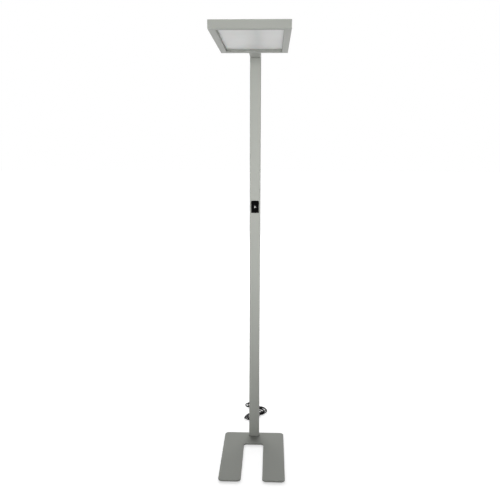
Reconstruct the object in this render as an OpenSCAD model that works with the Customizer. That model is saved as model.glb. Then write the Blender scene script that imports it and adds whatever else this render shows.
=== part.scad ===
// Office floor lamp: a slim lit panel on a mitred arm and post, over a forked steel foot.
// Millimetres. Z is up from the floor, the fork and the panel reach towards -Y, X = 0 is the middle.

/* [Overall] */
// Height from the floor to the top of the panel
lamp_h = 1950; // [1700:10:2350]
// Reach of the arm, from the post's front face to the panel
arm_len = 171; // [130:1:300]
/* [Panel] */
// Width of the panel
head_w = 296; // [250:1:420]
// Length of the panel
head_l = 600; // [520:1:760]
// Thickness of the panel
head_t = 32; // [32:1:48]
// Width of the frame's underside
lip_w = 26; // [24:1:34]
// Depth of the diffuser above the frame's underside
recess = 13; // [10.8:0.1:13.5]
// Wall of the frame's section
rail_wall = 2; // [1.6:0.1:2.6]
// Thickness of the lower diffuser
diffuser_t = 2; // [1.5:0.1:2.5]
// Thickness of the light guide
guide_t = 4; // [3:0.5:5]
// Thickness of the top cover's sheet
cover_t = 1.5; // [1:0.1:2]
// Width of the upward window
window_w = 150; // [100:5:170]
// Length of the upward window
window_l = 420; // [280:10:440]
/* [Post and arm] */
// Width of the tube
tube_w = 52; // [46:1:70]
// Depth of the tube
tube_d = 30; // [30:1:40]
// Wall of the tube
tube_wall = 2.5; // [2:0.1:3]
// Corner radius of the tube
tube_r = 5; // [3.5:0.5:8]
// Length of each leg of the bracket inside the mitred corner
elbow_leg = 75; // [60:1:110]
// Height of the steel block in the foot of the post
foot_block_h = 45; // [35:1:50]
/* [Foot] */
// Width of the foot plate
base_w = 306; // [260:1:420]
// Length of the foot plate
base_l = 476; // [400:1:600]
// Thickness of the foot plate
base_t = 8; // [6:0.5:12]
// Outer corner radius of the foot plate
base_r = 20; // [8:1:40]
// Width of the slot between the legs
slot_w = 98; // [70:1:130]
// Length of the slot between the legs
slot_l = 353; // [250:1:355]
// Corner radius at the end of the slot
slot_r = 14; // [5:1:30]
// Foot plate behind the post
base_back = 13; // [8:1:60]
// Thickness of the floor pads
pad_t = 2; // [1.5:0.5:4]
// Radius of a floor pad
pad_r = 11; // [8:1:16]
/* [Control] */
// Height of the control module's centre
module_z = 1215; // [1180:5:1260]
// Width of the module's faceplate
module_w = 38; // [37:1:42]
// Height of the module's faceplate
module_h = 60; // [58:1:72]
// Radius of the round key
key_r = 9; // [6:0.5:10]
// Travel of the key
key_travel = 1.2; // [0.8:0.1:1.5]
/* [Driver] */
// Height of the driver's underside in the post
driver_z = 830; // [700:10:880]
// Length of the driver
driver_l = 280; // [200:10:290]
/* [Lead] */
// Diameter of the mains lead
lead_d = 6; // [6:0.1:6]
// Height of the lead's gland on the post
gland_z = 72; // [72:1:72]
// Length of the gland's tapered boot behind the post
boot_l = 32; // [32:1:32]

/* [Hidden] */

// Clearances
fit = 0.15;          // between pieces that slide into each other
hole_gap = 0.05;     // round a screw's thread
hairline = 0.15;     // open width of a mitred joint
key_gap = 0.3;       // round the moving key
eps = 1;             // how far a cutter runs past the face it cuts

// Heights and depths of the foot, the post and the arm
plate_top = pad_t + base_t;
gasket_t = 1;
post_z = plate_top + gasket_t;
post_y = (arm_len + head_l - base_back - tube_d) / 2;   // front face of the post
rear_y = post_y + tube_d;                               // rear face of the post
base_y1 = rear_y + base_back;
base_y0 = base_y1 - base_l;
slot_y = base_y0 + slot_l;
arm_z = lamp_h - tube_d;                                // underside of the arm
bolt_x = 14;                                            // foot bolts from the middle

// Panel: u runs inwards from its outer face, v upwards from its underside
head_z = lamp_h - head_t;
head_y1 = post_y - arm_len;
head_y0 = head_y1 - head_l;
head_yc = (head_y0 + head_y1) / 2;
chamber_floor = 1.8;
chamber_wall = 1.8;
flange_w = 10;
tray_u = 12;                                            // outer face of the tray's skirt
tray_t = 1.2;
pcb_t = 1.2;
chip = 3;
chip_t = 1;
diffuser_u = 15;
guide_u = tray_u + tray_t + pcb_t + chip_t + 0.6;
guide_v = recess + diffuser_t;
sheet_t = 0.8;
tray_v = guide_v + guide_t + sheet_t;
tray_top = tray_v + tray_t;
cover_v = head_t - cover_t;
ledge_t = 1.5;                                          // flange that the cover lies on
cover_gap = 0.2;
lens_t = 2;
key_leg = 60;                                           // leg of a corner key
corner_at = 40;                                         // corner screws from the corner
corner_u = 9;
tab_w = 16;
tab_u = 5;                                              // outer end of the tray's tabs
tab_at = 8;                                             // their screws
tab_y = [for (i = [-2:2]) i * (head_l - 2 * key_leg - 24) / 4];
bracket_t = 3;
bracket_w = 120;
head_bolt_x = 15;
head_bolt_v = head_t - 12;
cable_v = head_t - 7.5;                                 // centre of the cable in the arm and the panel
up_board_w = 24;
up_board_x = 42;
board_t = 1.6;
terminal_at = 42;                                       // terminal block from the panel's rear face

// Cables inside the tubes
cable_d = 5;
post_cable_y = post_y + tube_d - 7.5;
bend_r = 15;
inner_y = post_y + 14;
inner_bend = 12;
control_cable_x = 8;
control_cable_y = post_y + 12.6;
control_cable_d = 3;
gland_hole_r = 6.5;
lead_gap = 0.1;                                         // between the lead and the gland's bore
boot_groove = 0.8;                                      // depth of the grooves in the two boots
boot_rings = 5;
boot_pitch = 4.6;

// Control module, depths measured inwards from the post's front face
win_w = module_w - 4;
win_h = module_h - 10;
flange_t = 1;
face_t = 2.4;
skin_t = 1.3;
box_d = 16;
box_wall = 1.6;
pcb_at = 9;
key_proud = 0.6;
module_screw_z = win_h / 2 + 1.9;
module_screw_d = 2.5;

// Countersunk screw sizes
tube_screw_d = 4;
tube_screw_l = 8;
small_screw_d = 3;

// Route of the lead, from the post's rear face: X sideways, Y away from the post, Z up
free_route = [
    [0, 0, 72], [0, 16, 72], [0, 32, 72], [0, 44, 72], [0, 56, 69.5], [0, 67, 63], [0, 76, 54],
    [0, 84, 43.5], [0, 91.5, 32], [0.5, 99.5, 20.5], [1, 109.5, 11], [2, 122, 5], [3.5, 136, 3.1],
    [5.5, 151, 3], [7.4, 168, 3], [9.1, 183, 3], [11.2, 196, 3], [13.6, 206.2, 3.2], [15.1, 215.5, 3.6]
];
tail_route = [
    [31.9, 336.5, 9.6], [24.5, 338.6, 9.6], [16, 339.4, 9.6], [7, 339.8, 9.6], [-2, 341, 9.6],
    [-10, 343.2, 8.2], [-17.5, 345.3, 5.8], [-24, 346.6, 3.9], [-30.5, 347, 3.1], [-41.9, 349.4, 3],
    [-51.9, 356.1, 3], [-58.6, 366.1, 3], [-61, 378, 3], [-58.6, 389.9, 3], [-51.9, 399.9, 3],
    [-41.9, 406.6, 3], [-30, 409, 3], [-22.5, 409, 3], [-15.4, 409, 3], [-4.9, 406.9, 3], [3.9, 401, 3],
    [9.9, 392.1, 3], [12, 381.7, 3], [9.9, 371.2, 3], [3.9, 362.3, 3], [-4.9, 356.4, 3],
    [-15.4, 354.3, 3], [-24.3, 354.3, 3], [-33.4, 356.1, 3], [-41.1, 361.2, 3], [-46.2, 368.9, 3],
    [-48, 378, 3.1], [-46.2, 387.1, 3.5], [-41.1, 394.8, 4.4], [-32.4, 400.3, 5.9], [-24.4, 403.2, 7.6],
    [-17, 407.3, 9.8], [-11.1, 413.4, 12.5], [-7.3, 421.1, 15.3], [-6, 429.5, 17.5], [-6, 436.5, 18.4],
    [-6, 443, 18.5]
];

// Hank: runs and round folds in two layers, drawn in by a strap at the middle, loose at the far end
hank_c = [-2.8, 249];            // its centre, from the post's rear face
hank_near = 38;                  // from the middle to the innermost near fold
hank_near_step = 4;              // and from there to the next one
hank_far = 36;                   // from the middle to the innermost far fold
hank_far_step = 9;
hank_in = 18;                    // radius of the innermost fold
hank_step = 8;                   // from one loop to the next
hank_bulge = 4;                  // how much further a far fold grows from one loop to the next
hank_draw = 12;                  // how far the runs are drawn in at the middle
hank_waist = 36;                 // length of the drawn-in part, to each side of the middle
hank_turn = 2.5;                 // loop at which the spiral reverses and climbs
hank_u0 = 0.09375;               // starts just before the middle of a run
hank_u1 = 4.375;                 // ends at the tip of a fold
layer_z = [3, 9.6];
tie_t = 1.2;
tie_gap = 0.3;
tie_w = 10;
hank_dir = [cos(60), sin(60)];   // along its runs
hank_rings = 32;                 // rings of the modelled lead in one loop

// Plug on the end of the lead
plug_x = -6;
plug_y0 = 443;
plug_h = 18.5;
plug_boot_l = 30;
plug_grip_l = 20;
plug_head_l = 22;
pin_r = 2.4;
pin_l = 19;
pin_x = 9.5;

// ---------------------------------------------------------------- shared shapes

// Rectangle with round corners, centred
module round_rect(w, h, r) {
    square([w - 2 * r, h], center = true);
    square([w, h - 2 * r], center = true);
    for (x = [-1, 1], y = [-1, 1]) {
        translate([x * (w / 2 - r), y * (h / 2 - r)]) circle(r, $fn = 48);
    }
}

// Section drawn as (Y, Z) and pulled along X, centred
module along_x(w) {
    rotate([90, 0, 90]) linear_extrude(w, center = true) children();
}

// Section drawn as (X, Z) and pulled towards +Y from y0 to y1
module along_y(y0, y1) {
    translate([0, y1, 0]) rotate([90, 0, 0]) linear_extrude(y1 - y0) children();
}

// Solid of revolution or screw drawn along Z, laid along +Y
module to_y() {
    rotate([-90, 0, 0]) children();
}

// Countersunk screw, its head flush at Z = 0 and its shank down; grow makes its hole
module csk_screw(d, l, grow = 0) {
    k = d / 2;
    head_r = d * 0.92;
    difference() {
        union() {
            translate([0, 0, -k]) cylinder(h = k, r1 = d / 2 + grow, r2 = head_r + grow, $fn = 32);
            translate([0, 0, -l - 4 * grow]) cylinder(h = l + 4 * grow - k, r = d / 2 + grow, $fn = 32);
            if (grow > 0) cylinder(h = eps, r = head_r + grow, $fn = 32);
        }
        if (grow == 0) translate([0, 0, -k * 0.7]) cylinder(h = k, r = d * 0.36, $fn = 6);
    }
}

// Pan-head screw, its head on Z = 0 and its shank down
module pan_screw(d, l, head_h, grow = 0) {
    difference() {
        union() {
            translate([0, 0, -l - 4 * grow]) cylinder(h = l + 4 * grow, r = d / 2 + grow, $fn = 32);
            if (grow == 0) cylinder(h = head_h, r = d * 0.92, $fn = 32);
            if (grow > 0) cylinder(h = eps, r = d / 2 + grow, $fn = 32);
        }
        if (grow == 0) translate([0, 0, head_h * 0.5]) cylinder(h = head_h, r = d * 0.42, $fn = 6);
    }
}

// Everything above the plane of the mitre between post and arm, lowered or raised by d
module above_mitre(d) {
    far = 200;
    along_x(tube_w + 20) translate([0, d]) polygon([
        [post_y - far, arm_z - far],
        [rear_y + 20, lamp_h + 20],
        [post_y - far, lamp_h + 20]
    ]);
}

// The post's and the arm's bars, inset by c from the tube's outside
module post_bar(c, z0) {
    translate([0, post_y + tube_d / 2, z0]) linear_extrude(lamp_h - z0 - c)
        round_rect(tube_w - 2 * c, tube_d - 2 * c, tube_r - c);
}
module arm_bar(c, y0, y1 = rear_y) {
    along_y(y0, y1 - c) translate([0, arm_z + tube_d / 2])
        round_rect(tube_w - 2 * c, tube_d - 2 * c, tube_r - c);
}

// ---------------------------------------------------------------- screws and their holes

// Tube screws: two rows in each leg of the corner, the foot block, the arm's end block and the driver
module tube_screw_set(grow = 0) {
    corner_x = tube_w / 2 - 10;
    for (x = [-corner_x, corner_x], d = [20, 50]) {
        translate([x, rear_y, arm_z - d]) rotate([-90, 0, 0]) csk_screw(tube_screw_d, tube_screw_l, grow);
        translate([x, post_y - d, lamp_h]) csk_screw(tube_screw_d, tube_screw_l, grow);
    }
    for (x = [-corner_x, corner_x]) {
        translate([x, head_y1 + 7, lamp_h]) csk_screw(tube_screw_d, tube_screw_l, grow);
        translate([x, rear_y, post_z + foot_block_h - 12]) rotate([-90, 0, 0])
            csk_screw(tube_screw_d, tube_screw_l, grow);
    }
    for (x = [-10, 10], z = [driver_z - 7, driver_z + driver_l + 7]) {
        translate([x, rear_y, z]) rotate([-90, 0, 0]) csk_screw(tube_screw_d, tube_screw_l, grow);
    }
}

// Foot bolts, up through the plate and the gasket into the foot block
module foot_bolt_set(grow = 0) {
    for (x = [-bolt_x, bolt_x]) {
        translate([x, post_y + tube_d / 2, pad_t]) rotate([180, 0, 0]) csk_screw(8, 30, grow);
    }
}

// Bolts from inside the panel through its rear rail into the arm's end block
module head_bolt_set(grow = 0) {
    for (x = [-head_bolt_x, head_bolt_x]) {
        translate([x, head_y1 - rail_wall - bracket_t, head_z + head_bolt_v]) rotate([90, 0, 0])
            pan_screw(5, 17, 4.5, grow);
    }
}

module corner_screw_set(grow = 0) {
    for (x = [-1, 1], y = [-1, 1]) {
        translate([x * head_w / 2, head_yc + y * head_l / 2, head_z + recess]) {
            translate([-x * corner_u, -y * corner_at, 0]) pan_screw(small_screw_d, 6, 1.8, grow);
            translate([-x * corner_at, -y * corner_u, 0]) pan_screw(small_screw_d, 6, 1.8, grow);
        }
    }
}

module tray_screw_set(grow = 0) {
    for (x = [-1, 1], y = tab_y) {
        translate([x * (head_w / 2 - tab_at), head_yc + y, head_z + recess + tray_t])
            pan_screw(small_screw_d, 4, 1.8, grow);
    }
}

module cover_screw_set(grow = 0) {
    at = 6;
    for (x = [-1, 1], y = [-0.42, 0, 0.42]) {
        translate([x * (head_w / 2 - at), head_yc + y * head_l, lamp_h]) csk_screw(small_screw_d, 5, grow);
    }
    for (x = [-0.28, 0.28], y = [-1, 1]) {
        translate([x * head_w, head_yc + y * (head_l / 2 - at), lamp_h]) csk_screw(small_screw_d, 5, grow);
    }
}

module module_screw_set(grow = 0) {
    for (z = [-1, 1]) {
        translate([0, post_y - flange_t, module_z + z * module_screw_z]) rotate([90, 0, 0])
            csk_screw(module_screw_d, 6, grow);
    }
}

// ---------------------------------------------------------------- foot

// Foot seen from above: a rounded plate less the slot, and the inner front corners of its legs
module fork_outline() {
    difference() {
        translate([0, (base_y0 + base_y1) / 2]) round_rect(base_w, base_l, base_r);
        translate([0, base_y0]) round_rect(slot_w, 2 * slot_l, slot_r);
        for (side = [0, 1]) {
            mirror([side, 0]) translate([slot_w / 2, base_y0]) difference() {
                translate([-eps, -eps]) square(base_r + eps);
                translate([base_r, base_r]) circle(base_r, $fn = 48);
            }
        }
    }
}

module base_plate() {
    color("#868983") difference() {
        translate([0, 0, pad_t]) linear_extrude(base_t) fork_outline();
        foot_bolt_set(hole_gap * 4);
    }
}

// Self-adhesive rubber discs under the plate
module base_pads() {
    inset = pad_r + 8;
    xs = [base_w / 2 - inset, slot_w / 2 + inset];
    color("#26282a") for (s = [-1, 1]) {
        for (x = xs) {
            translate([s * x, base_y0 + inset + 4, 0]) pad();
            translate([s * x, (base_y0 + slot_y) / 2, 0]) pad();
        }
        translate([s * xs[0], base_y1 - inset - 4, 0]) pad();
        translate([s * xs[1], base_y1 - inset - 4, 0]) pad();
    }
}

module pad() {
    rotate_extrude($fn = 48) polygon([[0, 0], [pad_r - 0.8, 0], [pad_r, 0.8], [pad_r, pad_t], [0, pad_t]]);
}

module post_gasket() {
    lip = 0.6;
    color("#303231") difference() {
        translate([0, post_y + tube_d / 2, plate_top]) linear_extrude(gasket_t)
            round_rect(tube_w + 2 * lip, tube_d + 2 * lip, tube_r + lip);
        foot_bolt_set(hole_gap * 4);
    }
}

// Steel block in the foot of the post, tapped for the foot bolts
module foot_insert() {
    c = tube_wall + fit;
    color("#8d9092") difference() {
        translate([0, post_y + tube_d / 2, post_z]) linear_extrude(foot_block_h)
            round_rect(tube_w - 2 * c, tube_d - 2 * c, tube_r - c);
        foot_bolt_set(hole_gap);
        tube_screw_set(hole_gap);
    }
}

module foot_bolts() {
    color("#5c5f61") foot_bolt_set();
}

// ---------------------------------------------------------------- post and arm

module post() {
    color("#aeb0ab") difference() {
        post_bar(0, post_z);
        translate([0, 0, -eps]) post_bar(tube_wall, post_z);
        post_bar(tube_wall, post_z);
        above_mitre(-hairline / 2);
        translate([0, post_y + tube_wall / 2, module_z]) rotate([90, 0, 0])
            linear_extrude(2 * tube_wall, center = true) round_rect(win_w, win_h, 3);
        translate([0, rear_y - tube_wall - eps, gland_z]) to_y()
            cylinder(h = tube_wall + 2 * eps, r = gland_hole_r, $fn = 48);
        tube_screw_set(hole_gap);
        module_screw_set(hole_gap);
    }
}

module arm() {
    color("#9fa19b") difference() {
        intersection() {
            arm_bar(0, head_y1);
            above_mitre(hairline / 2);
        }
        arm_bar(tube_wall, head_y1 - eps);
        tube_screw_set(hole_gap);
    }
}

// Cast bracket that fills the mitred corner, with a way through for the cable
module elbow_bracket() {
    c = tube_wall + fit;
    web = 6;
    slot = 20;
    color("#b4b6b8") difference() {
        union() {
            difference() {
                post_bar(c, arm_z - elbow_leg);
                above_mitre(0);
            }
            intersection() {
                arm_bar(c, post_y - elbow_leg);
                above_mitre(0);
            }
        }
        along_x(slot) polygon([
            [post_y + c + web, arm_z - elbow_leg - eps],
            [rear_y, arm_z - elbow_leg - eps],
            [rear_y, lamp_h],
            [post_y - elbow_leg - eps, lamp_h],
            [post_y - elbow_leg - eps, arm_z + c + web],
            [post_y + c + web, arm_z + c + web]
        ]);
        tube_screw_set(hole_gap);
    }
}

// Block in the panel end of the arm, tapped for the panel's bolts
module arm_end_block() {
    block = 14;
    color("#8d9092") difference() {
        arm_bar(tube_wall + fit, head_y1, head_y1 + block + tube_wall + fit);
        translate([0, head_y1 - eps, head_z + cable_v]) to_y() cylinder(h = block + 2 * eps, r = 4, $fn = 48);
        head_bolt_set(hole_gap);
        tube_screw_set(hole_gap);
    }
}

module tube_screws() {
    color("#9a9c98") tube_screw_set();
}

// ---------------------------------------------------------------- lead inlet, driver and inner cables

// Grooves round a boot, each 2.2 long in an outline whose radius at the place a is radius(a)
function boot_grooves(start, radius) = [
    for (i = [0:boot_rings - 1]) let(a = start + i * boot_pitch) each [
        [radius(a), a],
        [radius(a) - boot_groove, a + 0.5],
        [radius(a) - boot_groove, a + 1.7],
        [radius(a + 2.2), a + 2.2]
    ]
];

// Moulded gland: collar inside the wall, flange outside, and a ribbed tapered boot round the lead
module lead_gland() {
    bore = lead_d / 2 + lead_gap;
    inner = -tube_wall - 0.1;
    collar_r = gland_hole_r - 0.1;
    boot0 = 2.5;
    boot_radius = function(a) 6.6 - 2.4 * (a - boot0) / (boot_l - boot0);
    color("#1d1e1f") translate([0, rear_y, gland_z]) to_y() rotate_extrude($fn = 48) polygon(concat(
        [[bore, inner - 1.9], [8, inner - 1.9], [8, inner], [collar_r, inner], [collar_r, 0],
         [9, 0], [9, 1.7], [8.2, boot0], [boot_radius(boot0), boot0]],
        boot_grooves(boot0 + 5, boot_radius),
        [[boot_radius(boot_l), boot_l], [bore, boot_l]]
    ));
}

// Quarter bend of a cable in the YZ plane, from angle a0 on, measured from +Y towards +Z
module cable_bend(y, z, r, d, a0) {
    translate([0, y, z]) rotate([90, 0, 90]) rotate([0, 0, a0])
        rotate_extrude(angle = 90, $fn = 48) translate([r, 0]) circle(d = d, $fn = 32);
}

// The same lead, from the gland up the post to the driver
module inner_lead() {
    bend_y = inner_y + inner_bend;
    color("#202122") {
        translate([0, bend_y, gland_z]) to_y() cylinder(h = rear_y - bend_y, d = lead_d, $fn = 32);
        cable_bend(bend_y, gland_z + inner_bend, inner_bend, lead_d, 180);
        translate([0, inner_y, gland_z + inner_bend])
            cylinder(h = driver_z - gland_z - inner_bend, d = lead_d, $fn = 32);
    }
}

// Slim driver, screwed to the post's rear wall by a tab at each end
module led_driver() {
    driver_w = 34;
    driver_d = 20;
    tab_l = 14;
    tab_t = 2;
    back = rear_y - tube_wall;
    color("#d9dad6") difference() {
        union() {
            translate([0, back - driver_d / 2, driver_z]) linear_extrude(driver_l)
                round_rect(driver_w, driver_d, 2);
            translate([-driver_w / 2, back - tab_t, driver_z - tab_l])
                cube([driver_w, tab_t, driver_l + 2 * tab_l]);
        }
        tube_screw_set(hole_gap);
    }
}

// Low-voltage cable from the driver round the corner and along the arm to the panel
module head_cable() {
    cable_z = head_z + cable_v;
    end_y = head_y1 - terminal_at;
    color("#e4e4e0") {
        translate([0, post_cable_y, driver_z + driver_l])
            cylinder(h = cable_z - bend_r - driver_z - driver_l, d = cable_d, $fn = 32);
        cable_bend(post_cable_y - bend_r, cable_z - bend_r, bend_r, cable_d, 0);
        translate([0, end_y, cable_z]) to_y()
            cylinder(h = post_cable_y - bend_r - end_y, d = cable_d, $fn = 32);
    }
}

module control_cable() {
    color("#c9cac6") translate([control_cable_x, control_cable_y, driver_z + driver_l])
        cylinder(h = module_z - 18 - driver_z - driver_l, d = control_cable_d, $fn = 24);
}

// ---------------------------------------------------------------- control module

module control_housing() {
    boss_r = 2.5;
    boss_z = win_h / 2 - 8;
    hollow = 2 * (fit + box_wall);
    color("#1a1b1c") difference() {
        union() {
            translate([0, post_y, module_z]) rotate([90, 0, 0]) linear_extrude(flange_t)
                round_rect(module_w - 1, module_h - 1, 3);
            translate([0, post_y + box_d, module_z]) rotate([90, 0, 0]) linear_extrude(box_d)
                round_rect(win_w - 2 * fit, win_h - 2 * fit, 3 - fit);
        }
        difference() {
            translate([0, post_y + box_d - box_wall, module_z]) rotate([90, 0, 0])
                linear_extrude(box_d + flange_t) round_rect(win_w - hollow, win_h - hollow, 1.2);
            for (z = [-boss_z, boss_z]) {
                translate([0, post_y + pcb_at + board_t, module_z + z]) to_y()
                    cylinder(h = box_d - pcb_at - board_t, r = boss_r, $fn = 32);
            }
        }
        translate([control_cable_x, control_cable_y, module_z - win_h / 2 - eps])
            cylinder(h = 5, d = control_cable_d + 0.6, $fn = 24);
        module_screw_set(hole_gap);
    }
}

// Gloss faceplate, a shallow cap over the housing's flange, with the round hole for the key
module control_faceplate() {
    color("#0c0c0d") difference() {
        translate([0, post_y, module_z]) rotate([90, 0, 0]) linear_extrude(face_t)
            round_rect(module_w, module_h, 3.6);
        translate([0, post_y + eps, module_z]) rotate([90, 0, 0]) linear_extrude(face_t - skin_t + eps)
            round_rect(module_w - 1 + 2 * fit / 3, module_h - 1 + 2 * fit / 3, 3);
        translate([0, post_y - face_t - eps, module_z]) to_y()
            cylinder(h = face_t + 2 * eps, r = key_r + key_gap, $fn = 64);
    }
}

module module_screws() {
    color("#55585a") module_screw_set();
}

// Board on the housing's bosses, with the connector of the control cable behind it
module control_board() {
    color("#1f5a3a") {
        translate([0, post_y + pcb_at + board_t, module_z]) rotate([90, 0, 0]) linear_extrude(board_t)
            round_rect(win_w - 5, win_h - 6, 1);
        translate([control_cable_x - 4, post_y + pcb_at + board_t, module_z - 18]) cube([8, 3.6, 6]);
    }
}

// Silicone dome that returns the key
module key_dome() {
    tip = 4.5;
    color("#5e6163") translate([0, post_y, module_z]) to_y() rotate_extrude($fn = 48) polygon([
        [0, tip], [3, tip], [3.4, tip + 0.4], [6, pcb_at - 1], [8, pcb_at - 1], [8, pcb_at],
        [5.6, pcb_at], [3, tip + 1.6], [0, tip + 1.6]
    ]);
}

// Round push key: cap, retaining flange behind the faceplate, and the stem that presses the dome
module dim_key() {
    front = -face_t - key_proud;
    back = -(face_t - skin_t) + key_gap;
    rim = key_r + 1.5;
    rim_t = 1.4;
    stem_r = 3;
    stem_end = 4.2;
    color("#111213") translate([0, post_y, module_z]) to_y() rotate_extrude($fn = 64) polygon([
        [0, front + 0.25], [key_r - 2.2, front + 0.1], [key_r - 1.2, front], [key_r - 0.4, front],
        [key_r, front + 0.4], [key_r, back], [rim, back], [rim, back + rim_t], [stem_r, back + rim_t],
        [stem_r, stem_end], [0, stem_end]
    ]);
}

// ---------------------------------------------------------------- panel frame

// Section of the frame: a hollow foot under the diffuser, an outer wall and a ledge for the cover
module rail_section() {
    nose = 0.8;
    difference() {
        union() {
            translate([nose, 0]) square([lip_w - nose, recess]);
            translate([0, nose]) square([rail_wall, head_t - nose]);
            translate([0, nose]) square([lip_w, recess - nose]);
            translate([nose, nose]) circle(nose, $fn = 32);
            translate([0, cover_v - ledge_t]) square([flange_w, ledge_t]);
        }
        translate([rail_wall, chamber_floor])
            square([lip_w - rail_wall - chamber_wall, recess - chamber_floor - chamber_wall]);
    }
}

// Rail across the panel, outer face at y = 0, mitred at both ends
module cross_rail(side) {
    half = head_w / 2 - hairline / 2;
    translate([0, head_yc + side * head_l / 2, head_z]) mirror([0, side > 0 ? 1 : 0, 0]) intersection() {
        along_x(head_w) rail_section();
        translate([0, 0, -eps]) linear_extrude(head_t + 2 * eps)
            polygon([[-half, 0], [half, 0], [half - lip_w - 2, lip_w + 2], [-half + lip_w + 2, lip_w + 2]]);
    }
}

// Rail along the panel, outer face at x = 0, mitred at both ends
module side_rail(side) {
    half = head_l / 2 - hairline / 2;
    translate([side * head_w / 2, head_yc, head_z]) mirror([side > 0 ? 1 : 0, 0, 0]) intersection() {
        rotate([90, 0, 0]) linear_extrude(head_l, center = true) rail_section();
        translate([0, 0, -eps]) linear_extrude(head_t + 2 * eps)
            polygon([[0, -half], [0, half], [lip_w + 2, half - lip_w - 2], [lip_w + 2, -half + lip_w + 2]]);
    }
}

module rail_cuts() {
    corner_screw_set(hole_gap);
    tray_screw_set(hole_gap);
    cover_screw_set(hole_gap);
}

module rail_front() {
    color("#acada8") difference() {
        cross_rail(-1);
        rail_cuts();
    }
}

module rail_rear() {
    color("#acada8") difference() {
        cross_rail(1);
        rail_cuts();
        head_bolt_set(hole_gap);
        translate([0, head_y1 - rail_wall - eps, head_z + cable_v]) to_y()
            cylinder(h = rail_wall + 2 * eps, r = 3.7, $fn = 48);
    }
}

module rail_left() {
    color("#a7a8a3") difference() {
        side_rail(-1);
        rail_cuts();
    }
}

module rail_right() {
    color("#a7a8a3") difference() {
        side_rail(1);
        rail_cuts();
    }
}

// Cast L keys that slide into the rails' hollow feet
module corner_keys() {
    h = recess - chamber_floor - chamber_wall - 2 * fit;
    w = lip_w - rail_wall - chamber_wall - 2 * fit;
    o = rail_wall + fit;
    color("#8f9294") for (x = [-1, 1], y = [-1, 1]) {
        difference() {
            translate([x * head_w / 2, head_yc + y * head_l / 2, head_z + chamber_floor + fit])
                mirror([x > 0 ? 1 : 0, 0, 0]) mirror([0, y > 0 ? 1 : 0, 0]) linear_extrude(h) union() {
                    translate([o, o]) square([key_leg - o, w]);
                    translate([o, o]) square([w, key_leg - o]);
                }
            corner_screw_set(hole_gap);
        }
    }
}

module corner_screws() {
    color("#b9bbb8") corner_screw_set();
}

// ---------------------------------------------------------------- light engine

// Flat sheet of the panel's outline, inset by u, from v0 with thickness t
module head_sheet(u, v0, t, r = 2) {
    translate([0, head_yc, head_z + v0]) linear_extrude(t) round_rect(head_w - 2 * u, head_l - 2 * u, r);
}

module diffuser() {
    color("#dcddd9") head_sheet(diffuser_u, recess, diffuser_t);
}

module light_guide() {
    color("#e6ecec") head_sheet(guide_u, guide_v, guide_t, 1);
}

module reflector_sheet() {
    color("#f4f4f2") head_sheet(guide_u, guide_v + guide_t, sheet_t, 1);
}

// Board strips along both long edges of the light guide, with their light sources
module led_strips() {
    strip_l = head_l - 2 * guide_u - 20;
    count = 24;
    pitch = strip_l / count;
    color("#eceeea") for (s = [-1, 1]) {
        translate([s * head_w / 2, head_yc, head_z]) mirror([s > 0 ? 1 : 0, 0, 0]) {
            translate([tray_u + tray_t, -strip_l / 2, guide_v + 0.2]) cube([pcb_t, strip_l, guide_t + 0.4]);
            for (i = [0:count - 1]) {
                translate([tray_u + tray_t + pcb_t, (i + 0.5) * pitch - strip_l / 2, guide_v + guide_t / 2])
                    translate([0, -chip / 2, -chip / 2]) cube([chip_t, chip, chip]);
            }
        }
    }
}

// Folded sheet tray over the light guide, with a skirt all round and tabs for its screws
module led_tray() {
    color("#c6c8c6") difference() {
        union() {
            head_sheet(tray_u, recess, tray_top - recess);
            for (x = [-1, 1], y = tab_y) {
                translate([x * (head_w - tab_u - tray_u - 1) / 2, head_yc + y, head_z + recess + tray_t / 2])
                    cube([tray_u + 1 - tab_u, tab_w, tray_t], center = true);
            }
        }
        head_sheet(tray_u + tray_t, recess - eps, tray_v - recess + eps, 1);
        tray_screw_set(hole_gap);
    }
}

module tray_screws() {
    color("#b9bbb8") tray_screw_set();
}

// Boards on the tray that light the ceiling
module up_led_boards() {
    board_l = window_l - 20;
    count = 14;
    pitch = board_l / count;
    color("#f0f1ee") for (s = [-1, 1]) {
        translate([s * up_board_x, head_yc, head_z + tray_top]) {
            translate([-up_board_w / 2, -board_l / 2, 0]) cube([up_board_w, board_l, board_t]);
            for (i = [0:count - 1]) {
                translate([-chip / 2, (i + 0.5) * pitch - (board_l + chip) / 2, board_t])
                    cube([chip, chip, chip_t]);
            }
        }
    }
}

// Opal pane glued under the cover's window
module upper_diffuser() {
    rim = 10;
    color("#e8e9e6") translate([0, head_yc, head_z + cover_v - lens_t]) linear_extrude(lens_t)
        round_rect(window_w + 2 * rim, window_l + 2 * rim, 4);
}

module top_cover() {
    color("#a9aba6") difference() {
        head_sheet(rail_wall + cover_gap, cover_v, cover_t);
        translate([0, head_yc, head_z + cover_v - eps]) linear_extrude(cover_t + 2 * eps)
            round_rect(window_w, window_l, 6);
        cover_screw_set(hole_gap);
    }
}

module cover_screws() {
    color("#9a9c98") cover_screw_set();
}

// Terminal block where the head cable ends
module terminal_block() {
    size = [28, 20, 7.6];
    color("#e9e9e4") translate([0, head_y1 - terminal_at, head_z + tray_top]) difference() {
        translate([-size[0] / 2, -size[1], 0]) cube(size);
        for (x = [-8, 0, 8]) {
            translate([x, -12, size[2] - 2]) cylinder(h = 2 + eps, r = 2, $fn = 24);
            translate([x, -size[1] - eps, 3]) to_y() cylinder(h = 6 + eps, r = 1.6, $fn = 24);
        }
    }
}

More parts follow.
